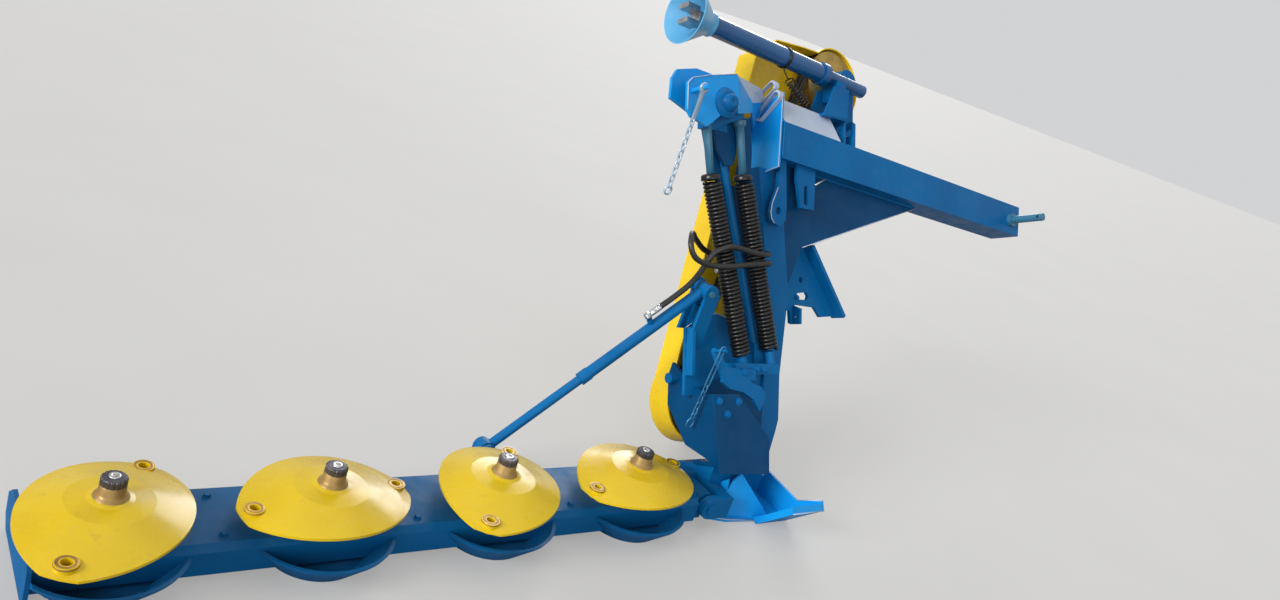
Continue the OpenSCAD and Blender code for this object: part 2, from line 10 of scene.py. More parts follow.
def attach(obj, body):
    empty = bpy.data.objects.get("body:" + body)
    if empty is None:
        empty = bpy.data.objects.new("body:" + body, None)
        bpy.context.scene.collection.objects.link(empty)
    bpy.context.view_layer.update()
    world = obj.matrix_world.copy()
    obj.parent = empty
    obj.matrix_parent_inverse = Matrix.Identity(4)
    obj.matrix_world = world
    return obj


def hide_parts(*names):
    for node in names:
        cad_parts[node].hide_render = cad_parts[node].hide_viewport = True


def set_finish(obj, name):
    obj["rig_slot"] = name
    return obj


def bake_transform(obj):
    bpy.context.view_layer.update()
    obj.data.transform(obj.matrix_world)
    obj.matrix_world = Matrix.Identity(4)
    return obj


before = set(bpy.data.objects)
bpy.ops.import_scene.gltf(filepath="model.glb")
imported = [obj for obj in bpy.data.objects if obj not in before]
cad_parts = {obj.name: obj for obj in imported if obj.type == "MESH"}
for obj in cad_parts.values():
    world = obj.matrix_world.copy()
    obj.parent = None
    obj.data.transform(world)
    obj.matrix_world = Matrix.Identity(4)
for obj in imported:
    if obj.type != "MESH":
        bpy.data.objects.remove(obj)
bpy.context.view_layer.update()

# places in millimetres: the machine's own axes start on the floor under the innermost rotor
ROW_SHIFT = np.array([-245.9, -344.9, 0.0])
FRAME_FOOT = np.array([410.0, 40.0, 160.0])
FRAME_LEAN = math.radians(28)
BEAM_ROOT = np.array([138.0, 0.0, 975.0])
BEAM_FALL = math.radians(4.5)
BEAM_SIZE = 112
ROTOR_PITCH = 410
ROTOR_COUNT = 4
DISC_TURNS = (15, 54, 9, 58)
DISC_LONG = 184
DISC_CROWN = 160
HUB_TOP = 210
BAR_TOP = 80
LIFT_TOP = np.array([243.0, 250.0, 562.0])
LIFT_LOW = np.array([-302.0, 250.0, 68.0])
SPRING_TOPS = ((-158, 758), (-30, 773))
SPRING_LOWS = ((-28, 273), (85, 289))
SPRING_Y = -15
SPRING_R = 25.5
SHAFT_SLOPE = -0.0907


def from_floor(points):
    """Points in the machine's own axes, millimetres, put in the row frame in metres."""
    return (np.asarray(points, float) + ROW_SHIFT) / 1000


def turned_back(points):
    """Points turned about X by the frame's lean: y' = y cos + z sin, z' = -y sin + z cos."""
    x, y, z = np.moveaxis(np.asarray(points, float), -1, 0)
    c, s = math.cos(FRAME_LEAN), math.sin(FRAME_LEAN)
    return np.stack([x, y * c + z * s, z * c - y * s], -1)


def in_frame(points):
    """Points in the leaning upright frame, put in the row frame."""
    return from_floor(turned_back(points) + FRAME_FOOT)


def on_beam(points):
    """Points along the hitch beam, which falls toward its end, put in the row frame."""
    x, y, z = np.moveaxis(np.asarray(points, float), -1, 0)
    c, s = math.cos(BEAM_FALL), math.sin(BEAM_FALL)
    return in_frame(np.stack([x * c + z * s, y, z * c - x * s], -1) + BEAM_ROOT)


def on_shaft(x, y=0.0, z=0.0):
    """A place x along the drive shaft's axis, y and z away from it, in the leaning frame."""
    return np.array([x, 50 + y, 1226 + (x + 130) * SHAFT_SLOPE + z])


class Skin:
    """Surfaces gathered into one mesh: lists of point arrays and of four-cornered faces."""

    def __init__(self):
        self.points, self.quads, self.tris, self.count = [], [], [], 0

    def add(self, grid, round_too=True, capped=False, looped=False):
        """A grid of rows by columns; its columns close when round_too, its rows when looped."""
        rows, cols = grid.shape[:2]
        index = self.count + np.arange(rows * cols).reshape(rows, cols)
        self.points.append(grid.reshape(-1, 3))
        self.count += rows * cols
        a = index if looped else index[:-1]
        b = np.roll(index, -1, 0) if looped else index[1:]
        if round_too:
            quads = np.stack([a, np.roll(a, -1, 1), np.roll(b, -1, 1), b], -1)
        else:
            quads = np.stack([a[:, :-1], a[:, 1:], b[:, 1:], b[:, :-1]], -1)
        self.quads.append(quads.reshape(-1, 4))
        if capped:
            for row, flip in ((index[0], True), (index[-1], False)):
                middle = grid.reshape(-1, 3)[row - index[0, 0]].mean(0)
                self.points.append(middle[None])
                fan = np.stack([row, np.roll(row, -1), np.full(cols, self.count)], -1)
                self.tris.append(fan[:, ::-1] if flip else fan)
                self.count += 1
        return self

    def piece(self, name, material, slot, body, smooth=True, replaces=(), closed=True):
        """The gathered surfaces as one object that rides on body; closed shells get their faces
        turned outward."""
        mesh = bpy.data.meshes.new(name)
        faces = [f for group in self.quads + self.tris for f in group.tolist()]
        mesh.from_pydata(np.concatenate(self.points).tolist(), [], faces)
        mesh.validate()
        if closed:
            shells = bmesh.new()
            shells.from_mesh(mesh)
            bmesh.ops.recalc_face_normals(shells, faces=shells.faces)
            shells.to_mesh(mesh)
            shells.free()
        mesh.shade_smooth() if smooth else mesh.shade_flat()
        mesh.materials.append(material)
        made = bpy.data.objects.new(name, mesh)
        bpy.context.scene.collection.objects.link(made)
        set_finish(made, slot)
        if replaces:
            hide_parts(*replaces)
        if body:
            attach(made, body)
        return made


def unit(vectors):
    """Each vector divided by its own length."""
    vectors = np.asarray(vectors, float)
    return vectors / np.linalg.norm(vectors, axis=-1, keepdims=True)


def across(axis):
    """Two directions at right angles to axis and to each other."""
    axis = unit(axis)
    start = np.eye(3)[np.argmin(np.abs(axis))]
    u = unit(np.cross(start, axis))
    return u, np.cross(axis, u)


def smooth_route(route, steps=6, looped=False):
    """A Catmull-Rom curve through the route's points: a cubic between each two neighbours."""
    p = np.asarray(route, float)
    ends = (p[-1], p[0], p[1]) if looped else (2 * p[0] - p[1], 2 * p[-1] - p[-2], p[-1])
    p = np.vstack([ends[0], p, ends[1:]]) if looped else np.vstack([ends[0], p, ends[1]])
    a, b, c, d = p[:-3, None], p[1:-2, None], p[2:-1, None], p[3:, None]
    t = (np.arange(steps) / steps)[None, :, None]
    curve = 0.5 * (2 * b + (c - a) * t + (2 * a - 5 * b + 4 * c - d) * t ** 2
                   + (3 * b - a - 3 * c + d) * t ** 3)
    curve = curve.reshape(-1, 3)
    return curve if looped else np.vstack([curve, p[-2]])


def tube(path, radius, sides=10, looped=False):
    """A circle of radius carried along path; each ring's side vector is the last one's,
    made square to the path again, so the tube doesn't twist."""
    path = np.asarray(path, float)
    ahead = unit(np.roll(path, -1, 0) - np.roll(path, 1, 0) if looped else np.gradient(path, axis=0))
    side = [across(ahead[0])[0]]
    for t in ahead[1:]:
        side.append(unit(side[-1] - t * (side[-1] @ t)))
    side = np.array(side)
    other = np.cross(ahead, side)
    a = np.linspace(0, 2 * np.pi, sides, endpoint=False)[None, :, None]
    r = np.broadcast_to(np.asarray(radius, float), (len(path),))[:, None, None]
    return path[:, None] + r * (np.cos(a) * side[:, None] + np.sin(a) * other[:, None])


def coil(start, end, radius, wire, turns, sides=8, steps=14):
    """A helix about the line from start to end: centre + radius (cos t, sin t), with the wire's
    circle set in the plane through the axis."""
    start, end = np.asarray(start, float), np.asarray(end, float)
    axis = unit(end - start)
    u, v = across(axis)
    t = np.linspace(0, 1, int(turns * steps))[:, None]
    angle = 2 * np.pi * turns * t
    out = np.cos(angle) * u + np.sin(angle) * v
    path = start + (end - start) * t + radius * out
    a = np.linspace(0, 2 * np.pi, sides, endpoint=False)[None, :, None]
    return path[:, None] + wire * (np.cos(a) * out[:, None] + np.sin(a) * axis[None, None])


def turned(profile, foot, axis, sides=32, hexagon=0.0):
    """A profile of (radius, height) pairs carried round axis from foot. Where hexagon is a
    radius, a point's radius is held inside that six-sided outline."""
    profile = np.asarray(profile, float)
    u, v = across(axis)
    a = np.linspace(0, 2 * np.pi, sides, endpoint=False)
    r = np.repeat(profile[:, :1], sides, 1)
    if hexagon:
        flat = hexagon * math.cos(math.pi / 6)
        r = np.minimum(r, flat / np.cos((a % (np.pi / 3)) - np.pi / 6))
    ring = np.cos(a)[:, None] * u + np.sin(a)[:, None] * v
    return np.asarray(foot, float) + r[..., None] * ring + profile[:, 1:, None] * unit(axis)


def hex_head(skin, place, foot, axis, size):
    """A washer and a six-sided head with a chamfered top, size across its corners; place puts
    points in the row frame."""
    washer = [(0.02, 0), (size * 0.68, 0), (size * 0.68, size * 0.1), (0.02, size * 0.1)]
    head = [(size * 0.5, size * 0.1), (size * 0.5, size * 0.38), (size * 0.43, size * 0.45),
            (0.02, size * 0.45)]
    skin.add(place(turned(washer, foot, axis, 24)))
    skin.add(place(turned(head, foot, axis, 24, hexagon=size * 0.5)))


def bead(points, radius=3.0, pitch=5.0, sides=7):
    """A weld bead: a tube along the points whose radius swells and shrinks with each ripple."""
    points = np.asarray(points, float)
    steps = np.linalg.norm(np.diff(points, axis=0), axis=1)
    distance = np.concatenate([[0], np.cumsum(steps)])
    s = np.linspace(0, distance[-1], max(4, int(distance[-1] / pitch * 3)))
    path = np.stack([np.interp(s, distance, points[:, k]) for k in range(3)], -1)
    swell = radius * (1 + 0.16 * np.sin(2 * np.pi * s / pitch))
    swell[0] = swell[-1] = radius * 0.3
    return tube(path, swell, sides)


# materials
class Nodes:
    """A material under construction: its node tree and its surface shader."""

    def __init__(self, name, roughness, metallic=0.0, coat=0.0, gleam=0.5):
        self.material = bpy.data.materials.new(name)
        self.material.use_nodes = True
        self.tree = self.material.node_tree
        self.shader = self.tree.nodes["Principled BSDF"]
        self.shader.inputs["Roughness"].default_value = roughness
        self.shader.inputs["Metallic"].default_value = metallic
        self.shader.inputs["Coat Weight"].default_value = coat
        self.shader.inputs["Coat Roughness"].default_value = 0.18
        self.shader.inputs["Specular IOR Level"].default_value = gleam
        self.place = self.tree.nodes.new("ShaderNodeTexCoord")

    def link(self, out, into):
        self.tree.links.new(out, into)

    def noise(self, scale, detail=4.0, stretch=(1, 1, 1), rough=0.55):
        """Noise on the piece's own coordinates; stretch squeezes it along an axis."""
        mapping = self.tree.nodes.new("ShaderNodeMapping")
        mapping.inputs["Scale"].default_value = stretch
        self.link(self.place.outputs["Object"], mapping.inputs["Vector"])
        made = self.tree.nodes.new("ShaderNodeTexNoise")
        made.inputs["Scale"].default_value = scale
        made.inputs["Detail"].default_value = detail
        made.inputs["Roughness"].default_value = rough
        self.link(mapping.outputs["Vector"], made.inputs["Vector"])
        return made.outputs["Fac"]

    def spots(self, scale):
        """Distance to the nearest of scattered points, for chips and grit."""
        made = self.tree.nodes.new("ShaderNodeTexVoronoi")
        made.inputs["Scale"].default_value = scale
        self.link(self.place.outputs["Object"], made.inputs["Vector"])
        return made.outputs["Distance"]

    def between(self, value, low, high, to_low=0.0, to_high=1.0):
        """value from low to high, mapped to to_low up to to_high and held there."""
        made = self.tree.nodes.new("ShaderNodeMapRange")
        for key, number in (("From Min", low), ("From Max", high), ("To Min", to_low),
                            ("To Max", to_high)):
            made.inputs[key].default_value = number
        self.link(value, made.inputs["Value"])
        return made.outputs["Result"]

    def times(self, a, b):
        made = self.tree.nodes.new("ShaderNodeMath")
        made.operation = "MULTIPLY"
        self.link(a, made.inputs[0])
        if isinstance(b, float):
            made.inputs[1].default_value = b
        else:
            self.link(b, made.inputs[1])
        return made.outputs[0]

    def upward(self):
        """How far the surface faces up at rest, from the piece's own normal."""
        split = self.tree.nodes.new("ShaderNodeSeparateXYZ")
        self.link(self.place.outputs["Normal"], split.inputs[0])
        return self.between(split.outputs["Z"], 0.2, 0.95)

    def mix(self, share, first, second):
        """The two colours mixed by share; a colour is three numbers or another mix."""
        made = self.tree.nodes.new("ShaderNodeMix")
        made.data_type = "RGBA"
        self.link(share, made.inputs["Factor"])
        for key, colour in ((6, first), (7, second)):
            if isinstance(colour, tuple):
                made.inputs[key].default_value = (*colour, 1)
            else:
                self.link(colour, made.inputs[key])
        return made.outputs[2]

    def finish(self, colour, roughness=None, height=None, strength=0.2, distance=0.0005):
        self.link(colour, self.shader.inputs["Base Color"])
        if roughness is not None:
            self.link(roughness, self.shader.inputs["Roughness"])
        if height is not None:
            bump = self.tree.nodes.new("ShaderNodeBump")
            bump.inputs["Strength"].default_value = strength
            bump.inputs["Distance"].default_value = distance
            self.link(height, bump.inputs["Height"])
            self.link(bump.outputs["Normal"], self.shader.inputs["Normal"])
        return self.material


def brushed_paint(name, colour, deep, dusty=0.1, coat=0.0, rough=0.34, gleam=0.12):
    """Thick gloss paint put on by brush and gun: two shades of the colour, runs, small chips
    and dust that lies where the surface faces up."""
    made = Nodes(name, rough, coat=coat, gleam=gleam)
    cloud = made.between(made.noise(3.2, 5), 0.35, 0.65)
    shade = made.mix(cloud, colour, deep)
    grit = made.between(made.spots(420), 0.05, 0.16, 1.0, 0.0)
    patchy = made.between(made.noise(14, 3), 0.56, 0.66)
    shade = made.mix(made.times(made.times(grit, patchy), 0.6), shade, (0.09, 0.075, 0.06))
    film = made.times(made.between(made.noise(26, 6), 0.38, 0.7), made.upward())
    shade = made.mix(made.times(film, dusty), shade, (0.16, 0.26, 0.38))
    gloss = made.between(made.noise(18, 4), 0.3, 0.7, rough - 0.08, rough + 0.14)
    return made.finish(shade, gloss, made.noise(150, 3, stretch=(1, 1, 0.3)), 0.16)


def disc_yellow(name, colour, deep):
    """Yellow gloss paint with brown stains and scuffs."""
    made = Nodes(name, 0.26, coat=0.2, gleam=0.3)
    cloud = made.between(made.noise(5, 4), 0.35, 0.68)
    shade = made.mix(cloud, colour, deep)
    stain = made.between(made.noise(38, 7, rough=0.7), 0.6, 0.74)
    shade = made.mix(made.times(stain, 0.4), shade, (0.36, 0.2, 0.03))
    scuff = made.between(made.noise(30, 6, stretch=(1, 9, 1)), 0.64, 0.72)
    shade = made.mix(made.times(scuff, 0.3), shade, (0.78, 0.7, 0.42))
    gloss = made.between(made.noise(22, 4), 0.3, 0.7, 0.18, 0.38)
    return made.finish(shade, gloss, made.noise(110, 3), 0.12)


def plain_metal(name, colour, deep, rough, grain=(1, 1, 8), metallic=1.0, stain=(0.16, 0.09, 0.05)):
    """Bare metal: two shades, a stretched grain in its height and a little brown stain."""
    made = Nodes(name, rough, metallic=metallic)
    cloud = made.between(made.noise(24, 5), 0.35, 0.65)
    shade = made.mix(cloud, colour, deep)
    rust = made.between(made.noise(70, 6, rough=0.7), 0.6, 0.72)
    shade = made.mix(made.times(rust, 0.5), shade, stain)
    gloss = made.between(made.noise(60, 4), 0.3, 0.7, rough - 0.1, rough + 0.15)
    return made.finish(shade, gloss, made.noise(260, 3, stretch=grain), 0.25, 0.0003)


def dark_coat(name, colour, deep, rough, coat=0.0, grain=320, gleam=0.5):
    """Black paint or rubber: two near-black shades, a fine grain and pale dust."""
    made = Nodes(name, rough, coat=coat, gleam=gleam)
    cloud = made.between(made.noise(30, 5), 0.35, 0.65)
    shade = made.mix(cloud, colour, deep)
    film = made.between(made.noise(90, 5), 0.55, 0.8)
    shade = made.mix(made.times(film, 0.2), shade, (0.08, 0.08, 0.08))
    return made.finish(shade, None, made.noise(grain, 3), 0.2, 0.0003)


BLUE = brushed_paint("blue_paint", (0.002, 0.135, 0.36), (0.001, 0.1, 0.29))
# painted light: a lighter copy of the blue paint for faces turned to the left lamp (the end plate, the
# shoe, the head and its bent plate)
LIT_SIDE_BLUE = brushed_paint("lit_side_blue_paint", (0.004, 0.32, 0.78), (0.003, 0.26, 0.68),
                       coat=0.1, gleam=0.3)
# painted shade: a darker copy of the blue paint for faces in the beam's shadow (the gusset, the lower
# frame and the strut's plates)
SHADED_BLUE = brushed_paint("shaded_blue_paint", (0.0, 0.06, 0.17), (0.0, 0.045, 0.135))
BAR_BLUE = brushed_paint("bar_blue_paint", (0.003, 0.12, 0.32), (0.002, 0.085, 0.24), rough=0.46)
CONE_BLUE = brushed_paint("cone_blue_paint", (0.13, 0.43, 0.70), (0.09, 0.36, 0.62),
                          coat=0.3, gleam=0.4)
GLOSS_BLUE = brushed_paint("gloss_blue_paint", (0.002, 0.085, 0.25), (0.001, 0.065, 0.2),
                           coat=0.6, rough=0.24, gleam=0.4)
PALE = brushed_paint("pale_blue_paint", (0.04, 0.17, 0.27), (0.025, 0.12, 0.21), coat=0.2, gleam=0.4)
LIT = brushed_paint("lit_blue_paint", (0.48, 0.55, 0.66), (0.38, 0.46, 0.58), coat=0.2, gleam=0.4)
YELLOW = disc_yellow("yellow_paint", (0.70, 0.49, 0.004), (0.63, 0.42, 0.003))
GUARD_YELLOW = disc_yellow("guard_yellow_paint", (0.86, 0.58, 0.01), (0.74, 0.48, 0.008))
STEEL = plain_metal("bare_steel", (0.55, 0.55, 0.56), (0.38, 0.37, 0.37), 0.36)
ZINC = plain_metal("zinc_steel", (0.66, 0.68, 0.7), (0.5, 0.51, 0.53), 0.28, stain=(0.3, 0.27, 0.24))
HUB_METAL = plain_metal("hub_metal", (0.36, 0.23, 0.07), (0.24, 0.14, 0.04), 0.42, metallic=0.3)
CHAIN = plain_metal("chain_metal", (0.5, 0.62, 0.74), (0.34, 0.46, 0.6),
                    0.34, metallic=0.5, stain=(0.2, 0.25, 0.3))
CHAIN_BLUE = plain_metal("painted_chain", (0.05, 0.24, 0.46), (0.03, 0.14, 0.3),
                         0.34, metallic=0.4, stain=(0.2, 0.25, 0.3))
SPINDLE = plain_metal("spindle_metal", (0.12, 0.11, 0.12), (0.05, 0.05, 0.06), 0.4, metallic=0.8)
KNIFE_BOLT = plain_metal("knife_bolt_metal", (0.45, 0.25, 0.06), (0.22, 0.11, 0.03), 0.4, metallic=0.6)
PULLEY_GOLD = plain_metal("pulley_metal", (0.52, 0.36, 0.1), (0.34, 0.22, 0.06), 0.34, metallic=0.8)
SPRING_BLACK = dark_coat("spring_paint", (0.010, 0.010, 0.010), (0.006, 0.006, 0.006),
                         0.3, coat=0.25, gleam=0.25)
RUBBER = dark_coat("black_rubber", (0.010, 0.010, 0.010), (0.016, 0.016, 0.015), 0.42)
BELT_RUBBER = dark_coat("belt_rubber", (0.02, 0.02, 0.02), (0.012, 0.012, 0.012), 0.6)

NODE_FINISH = {
    BLUE: ("column", "hitch_beam", "lift_bracket", "u_bracket", "lug_slot", "spring_strut",
           "top_bracket", "shaft_rest", "lug_hole",
           "lift_barrel", "lift_rod", "pulley_bearing", "low_bearing", "stand_socket", "gear_case",
           "spring_yoke", "hinge_pin", "pivot_pin", "spring_foot", "rear_bracket"),
    CONE_BLUE: ("shaft_cone",),
    GLOSS_BLUE: ("drive_shaft_tube", "drive_shaft_inner", "shaft_collar"),
    # painted light: the lighter copy of the blue on faces turned to the left lamp
    LIT_SIDE_BLUE: ("beam_end_plate", "inner_shoe", "column_head", "head_pin"),
    PALE: ("tension_rods", "hitch_pin", "handles", "lift_pins", "rod_pin"),
    # painted shade: the darker copy of the blue on faces in the beam's shadow
    SHADED_BLUE: ("gusset", "lower_frame"),
    BAR_BLUE: ("cutter_bar", "bar_end_plate", "skids"),
    YELLOW: ("rotor_1", "rotor_2", "rotor_3", "rotor_4"),
    GUARD_YELLOW: ("belt_guard",),
    STEEL: ("stand_leg", "shaft_yoke", "rest_spring"),
    CHAIN: ("chain_top",),
    CHAIN_BLUE: ("chain_low",),
    ZINC: ("hose_fitting",),
    SPRING_BLACK: ("spring_left", "spring_right"),
    RUBBER: ("hose",),
    BELT_RUBBER: ("belts",),
    PULLEY_GOLD: ("top_pulley", "low_pulley"),
}


def finish_cad_nodes():
    """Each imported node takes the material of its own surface."""
    for material, names in NODE_FINISH.items():
        for name in names:
            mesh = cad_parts[name].data
            mesh.materials.clear()
            mesh.materials.append(material)


# springs
def balance_springs():
    """The two long balance springs: closely wound helixes that stand for the CAD tubes."""
    for name, top, low in zip(("spring_left", "spring_right"), SPRING_TOPS, SPRING_LOWS):
        wire = 5.3
        pitch = 10.9
        start = np.array([top[0], SPRING_Y, top[1]], float)
        end = np.array([low[0], SPRING_Y, low[1]], float)
        start, end = start + unit(end - start) * wire, end - unit(end - start) * wire
        turns = np.linalg.norm(end - start) / pitch
        radius = SPRING_R + 2.5 - wire
        skin = Skin().add(in_frame(coil(start, end, radius, wire, turns, steps=20)), capped=True)
        skin.piece(name + "_coil", SPRING_BLACK, "spring_steel", "frame", replaces=(name,))


def rest_spring():
    """The small spring that holds the drive shaft: a coil, a straight hook wire at each end and
    the clamp round the shaft."""
    skin = Skin()
    skin.add(in_frame(coil((224, 50, 1130.7), (303, 50, 1066), 13, 2.4, 9, steps=16)), capped=True)
    for route in (((203, 50, 1162), (206, 50, 1152), (214, 50, 1140), (224, 50, 1131)),
                  ((303, 50, 1066), (318, 50, 1060), (338, 50, 1054), (352, 50, 1049.5))):
        skin.add(in_frame(tube(smooth_route(route), 2.2, 8)), capped=True)
    band = [(30.1, -5), (33.4, -5), (33.4, 5), (30.1, 5)]
    axis = on_shaft(1) - on_shaft(0)
    skin.add(in_frame(turned(band, on_shaft(203), axis, 40)), looped=True)
    skin.piece("rest_spring_coil", SPRING_BLACK, "spring_steel", "frame", replaces=("rest_spring",))


# hose and chains
HOSE_ROUTE = (
    (-300, 25, 400), (-262, 9, 430), (-225, -5, 462), (-195, -12, 495), (-175, -18, 525),
    (-155, -32, 555), (-120, -50, 572), (-80, -52, 571), (-20, -52, 564), (20, -52, 562),
    (50, -42, 567), (64, -15, 572), (52, 20, 570), (25, 46, 565), (-20, 50, 560), (-80, 44, 558),
    (-135, 36, 570), (-185, 15, 592), (-225, -15, 602), (-252, -40, 590), (-265, -52, 565),
    (-258, -54, 540), (-235, -53, 524), (-187, -52, 515), (-120, -52, 518), (-60, -51, 526),
    (0, -50, 534), (47, -46, 541), (69, -13, 540), (52, 22, 534), (25, 46, 528), (-20, 50, 522))


def hose():
    """The cylinder's hose and the coupling on its far end: a circle carried along a smooth curve
    through the route's points, and a turned profile."""
    path = smooth_route(HOSE_ROUTE, 8)
    skin = Skin().add(in_frame(tube(path, 8, 14)), capped=True)
    made = skin.piece("lift_hose", RUBBER, "belt_rubber", None, replaces=("hose",))
    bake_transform(made)
    coupling = [(0.02, -3), (9.6, -3), (9.6, 15), (11.2, 17), (11.2, 27), (9.8, 28), (9.8, 30),
                (11.2, 31), (11.2, 41), (8, 43), (8, 49), (6, 50), (0.02, 50)]
    skin = Skin().add(in_frame(turned(coupling, path[-1], path[-1] - path[-3], 36)))
    plug = skin.piece("hose_coupling", ZINC, "bare_steel", "frame")


def along_cylinder(points):
    """Points on the lift cylinder, z from its top pin toward the bar's pin and x to the upper side."""
    down = unit(LIFT_LOW - LIFT_TOP)
    upper = np.array([down[2], 0, -down[0]])
    x, y, z = np.moveaxis(np.asarray(points, float), -1, 0)
    local = x[..., None] * upper + y[..., None] * np.array([0, 1, 0]) + z[..., None] * down
    return from_floor(LIFT_TOP + local)


def hose_fitting():
    """The swaged fitting on the hose's end: a turned profile with grooves and a hexagon."""
    swage = [(0.02, 0), (8.5, 0.2), (8.6, 8), (7.8, 9), (8.6, 10), (8.6, 15), (7.8, 16), (8.6, 17),
             (8.6, 30), (7.2, 33), (7.2, 36)]
    nut = [(0.02, 36), (10.4, 36.2), (10.4, 50), (9, 51.9), (0.02, 52)]
    skin = Skin()
    skin.add(along_cylinder(turned(swage, (44, 0, 140), (0, 0, 1), 36)))
    skin.add(along_cylinder(turned(nut, (44, 0, 140), (0, 0, 1), 36, hexagon=10.4)))
    skin.piece("hose_fitting_swage", ZINC, "bare_steel", "lift_barrel", replaces=("hose_fitting",))


def link_path(length, width, count=28):
    """A chain link's middle line: two half circles joined by straight sides, in x and z."""
    a = (np.arange(count) + 0.5) * 2 * np.pi / count
    straight = np.sign(np.sin(a)) * (length - width)
    return np.stack([width * np.cos(a), 0 * a, width * np.sin(a) + straight], -1)


def hanging_links(skin, top, count, tilt=0.0):
    """Links that hang below each other from top, each turned a quarter against the last."""
    for k in range(count):
        path = link_path(11, 6)
        if k % 2 == 0:
            path = path[:, [1, 0, 2]]
        drop = 11 + k * 17.6
        path = path + np.array([-drop * tilt, 0, -drop])
        skin.add(from_floor(tube(path + top, 2, 8, looped=True)), looped=True)


def chains():
    """The two hanging chains: a flat hanger or a wire loop, round links and a ring."""
    top = np.array([132.0, 406.0, 1072.0])
    skin = Skin()
    angle = np.linspace(-62, 242, 20)
    head = 15 * np.stack([np.cos(np.radians(angle)), np.sin(np.radians(angle))], -1)
    outline = np.concatenate([[(-6, -96), (6, -96), (7, -94)], head, [(-7, -94)]])
    middle = np.array([0, -40])
    rows = [np.insert(middle + (outline - middle) * share, 1, y, axis=1) for share, y in
            ((0.94, -2.5), (1, -1.7), (1, 1.7), (0.94, 2.5))]
    skin.add(from_floor(np.array(rows) + top), capped=True)
    hanging_links(skin, top + (0, 0, -86.3), 11)
    skin.add(from_floor(tube(link_path(12, 11) + top + (0, 0, -291), 3, 8, looped=True)), looped=True)
    skin.piece("chain_top_links", CHAIN, "bare_steel", "frame", replaces=("chain_top",))
    low = np.array([250.0, 109.0, 449.0])
    tilt = math.tan(math.radians(4))
    skin = Skin()
    loop = link_path(62, 7.5, 40) + (-54 * tilt, 0, -54)
    loop[:, 0] += (loop[:, 2] + 54) * tilt
    skin.add(from_floor(tube(loop + low, 2.2, 8, looped=True)), looped=True)
    hanging_links(skin, low + (-111 * tilt, 0, -111), 6, tilt)
    ring = link_path(14, 12) + (-230 * tilt, 0, -230)
    skin.add(from_floor(tube(ring + low, 2.5, 8, looped=True)), looped=True)
    skin.piece("chain_low_links", CHAIN_BLUE, "bare_steel", "frame", replaces=("chain_low",))


# rotors
def rotor_tops(k):
    """What stands on disc k: the turned boss, the tan hub with its collar, the dark spindle end
    and the two knife bolts in their wells."""
    axis = (0, 0, 1)
    centre = np.array([-k * ROTOR_PITCH, 0, 0.0])
    body = f"rotor_{k + 1}"
    hub = [(31, DISC_CROWN + 9), (30, DISC_CROWN + 11), (26, DISC_CROWN + 14), (23.6, DISC_CROWN + 18),
           (23.2, HUB_TOP - 17), (22, HUB_TOP - 15)]
    skin = Skin().add(from_floor(turned(hub, centre, axis, 48)))
    skin.piece(body + "_hub", HUB_METAL, "bare_steel", body)
    collar = [(21.4, HUB_TOP - 16), (22.8, HUB_TOP - 15), (22.8, HUB_TOP - 3), (21.2, HUB_TOP - 1),
              (18.4, HUB_TOP + 0.4), (14, HUB_TOP + 0.6), (0.02, HUB_TOP + 0.6)]
    grid = turned(collar, centre, axis, 96)
    teeth = 1 + 0.05 * np.sign(np.sin(np.arange(96) * 2 * np.pi / 96 * 16))
    grid[1:4, :, :2] = centre[:2] + (grid[1:4, :, :2] - centre[:2]) * np.minimum(teeth, 1)[None, :, None]
    skin = Skin().add(from_floor(grid))
    skin.piece(body + "_spindle", SPINDLE, "bare_steel", body, smooth=False)
    skin = Skin()
    stub = [(10.5, HUB_TOP + 0.2), (10.5, HUB_TOP + 2), (9, HUB_TOP + 3), (4, HUB_TOP + 3),
            (3.4, HUB_TOP + 1), (0.02, HUB_TOP + 1)]
    skin.add(from_floor(turned(stub, centre, axis, 36)))
    skin.piece(body + "_stub", STEEL, "bare_steel", body)
    angle = math.radians(DISC_TURNS[k])
    skin = Skin()
    for side in (-1, 1):
        foot = centre + side * (DISC_LONG - 24) * np.array([math.cos(angle), math.sin(angle), 0])
        rim = [(10.1, 138.5), (14, 139.4), (17.5, 139.4), (20.4, 137), (20.2, 134)]
        skin.add(from_floor(turned(rim[::-1], foot, axis, 36)))
        shank = [(9.8, 118), (9.8, 126), (7, 127.5), (0.02, 127.5)]
        skin.add(from_floor(turned(shank, foot, axis, 24)))
    skin.piece(body + "_knife_bolts", KNIFE_BOLT, "bare_steel", body)


